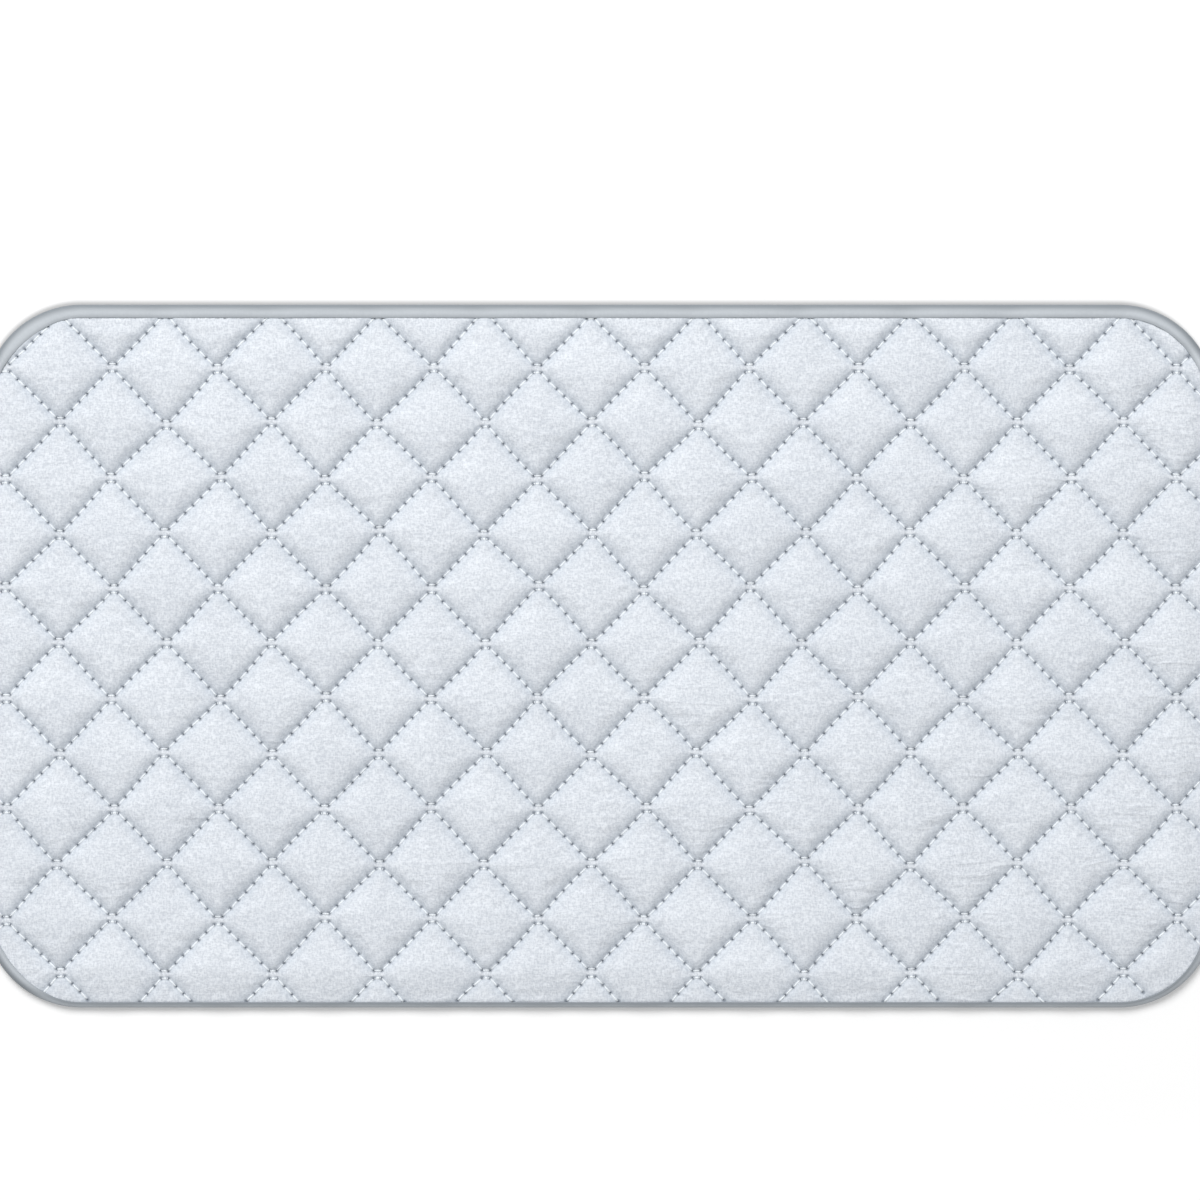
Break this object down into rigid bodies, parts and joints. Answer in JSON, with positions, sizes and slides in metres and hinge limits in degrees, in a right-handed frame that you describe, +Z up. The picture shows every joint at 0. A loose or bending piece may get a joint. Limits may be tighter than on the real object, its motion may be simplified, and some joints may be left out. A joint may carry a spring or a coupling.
{
  "type": "ironing pad",
  "caption": "Flat rectangular ironing pad with rounded corners: silvery cover, wadding and backing stitched in zigzag rows into soft diamonds, with a folded tape bound round its edge.",
  "frame": {"origin": "on the table, under the middle of the pad's outline", "axes": "+X along the pad, +Y across it towards the far side, +Z up from the table"},
  "size_m": [0.85, 0.485, 0.0095],
  "materials": {
    "cover_cloth": "fine plain-weave cloth with a pale silvery coating",
    "wadding": "soft white fibre wadding",
    "backing_cloth": "matt grey plain-weave cloth",
    "binding_tape": "smooth grey satin-faced tape",
    "thread": "twisted white sewing thread"
  },
  "bodies": {
    "root": {"top_cover": "cover_cloth", "wadding": "wadding", "backing_cover": "backing_cloth", "edge_binding": "binding_tape", "needle_thread_01": "thread", "needle_thread_02": "thread", "needle_thread_03": "thread", "needle_thread_04": "thread", "needle_thread_05": "thread", "needle_thread_06": "thread", "needle_thread_07": "thread", "needle_thread_08": "thread", "needle_thread_09": "thread", "needle_thread_10": "thread", "needle_thread_11": "thread", "needle_thread_12": "thread", "needle_tip_01": "thread", "needle_tip_02": "thread", "needle_tip_03": "thread", "needle_tip_04": "thread", "needle_tip_05": "thread", "needle_tip_06": "thread", "needle_tip_07": "thread", "needle_tip_08": "thread", "needle_tip_09": "thread", "needle_tip_10": "thread", "needle_tip_11": "thread", "bobbin_thread_01": "thread", "bobbin_thread_02": "thread", "bobbin_thread_03": "thread", "bobbin_thread_04": "thread", "bobbin_thread_05": "thread", "bobbin_thread_06": "thread", "bobbin_thread_07": "thread", "bobbin_thread_08": "thread", "bobbin_thread_09": "thread", "bobbin_thread_10": "thread", "bobbin_thread_11": "thread", "bobbin_thread_12": "thread", "binding_needle_thread": "thread", "binding_bobbin_thread": "thread"}
  },
  "joints": []
}
